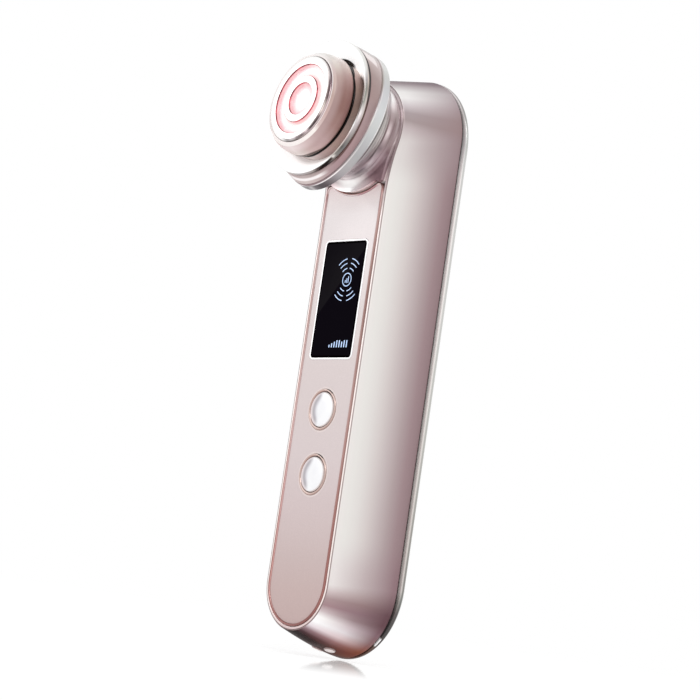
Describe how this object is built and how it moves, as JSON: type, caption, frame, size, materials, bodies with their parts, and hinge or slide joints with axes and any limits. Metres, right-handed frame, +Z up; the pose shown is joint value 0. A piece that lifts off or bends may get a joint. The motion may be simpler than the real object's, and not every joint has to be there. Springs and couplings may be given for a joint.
{
  "type": "facial toning device",
  "caption": "Slim hand-held facial toning device with a tilted round treatment head, a display, push buttons and charging contacts.",
  "frame": {"origin": "bottom centre of the whole device's bounding box, standing upright", "axes": "+Z up the handle towards the head, +Y towards the rear cover, front panel and treatment head face -Y"},
  "size_m": [0.0506, 0.0596, 0.2039],
  "materials": {
    "champagne_satin": "satin metallic paint",
    "white_chrome": "bright plated",
    "rose_trim": "anodised, bright",
    "blush_gloss": "gloss",
    "white_gloss": "gloss",
    "display_black": "polished",
    "dark_plastic": "matt",
    "pearl_white": "pearl gloss",
    "natural_plastic": "matt",
    "steel_screw": "plain",
    "board_green": "solder mask",
    "cell_wrap": "shrink wrap",
    "foam": "closed-cell foam",
    "contact_metal": "nickel plated",
    "wire_red": "insulation",
    "seal_dark": "matt",
    "cover_gloss": "gloss",
    "neck_mirror": "metallised",
    "silver_plated": "plated",
    "light_diffuser": "translucent gloss",
    "rose_plated": "rose plated",
    "mirror_plate": "polished",
    "taupe_gloss": "gloss",
    "drum_rose": "pearl gloss",
    "electrode": "polished",
    "clear_window": "clear",
    "lamp_red": "clear red",
    "ribbon_amber": "film"
  },
  "bodies": {
    "handset": {"main_housing": "champagne_satin", "rim_trim": "white_chrome", "panel_bezel": "rose_trim", "front_panel": "blush_gloss", "display_surround": "white_gloss", "display_window": "display_black", "display_module": "dark_plastic", "upper_button_ring": "rose_trim", "lower_button_ring": "rose_trim", "tact_switches": "dark_plastic", "inner_frame": "natural_plastic", "frame_screws": "steel_screw", "main_board": "board_green", "board_parts": "dark_plastic", "board_screws": "steel_screw", "battery_cradle": "natural_plastic", "battery_cell": "cell_wrap", "battery_pad": "foam", "contact_block": "natural_plastic", "charge_contacts": "contact_metal", "charge_wires": "wire_red", "rear_seal": "seal_dark", "rear_band": "white_chrome", "rear_cover": "cover_gloss", "neck_housing": "neck_mirror", "neck_screws": "steel_screw", "base_ring": "silver_plated", "light_ring": "light_diffuser", "rose_collar": "rose_plated", "mirror_flange": "mirror_plate", "head_skirt": "taupe_gloss", "head_seal": "seal_dark", "head_core": "natural_plastic", "head_drum": "drum_rose", "outer_electrode": "electrode", "ring_electrode": "electrode", "led_window": "clear_window", "led_board": "natural_plastic", "led_lamps": "lamp_red", "head_ribbon": "ribbon_amber"},
    "upper_button": {"upper_button": "pearl_white", "upper_plunger": "dark_plastic"},
    "lower_button": {"lower_button": "pearl_white", "lower_plunger": "dark_plastic"}
  },
  "joints": [
    {"name": "upper_button_press", "type": "slide", "parent": "handset", "child": "upper_button", "axis": [0, 1, 0], "range_m": [0, 0.0004], "stiffness_N_per_m": 2000, "springref_m": -0.0005},
    {"name": "lower_button_press", "type": "slide", "parent": "handset", "child": "lower_button", "axis": [0, 1, 0], "range_m": [0, 0.0004], "stiffness_N_per_m": 2000, "springref_m": -0.0005}
  ]
}
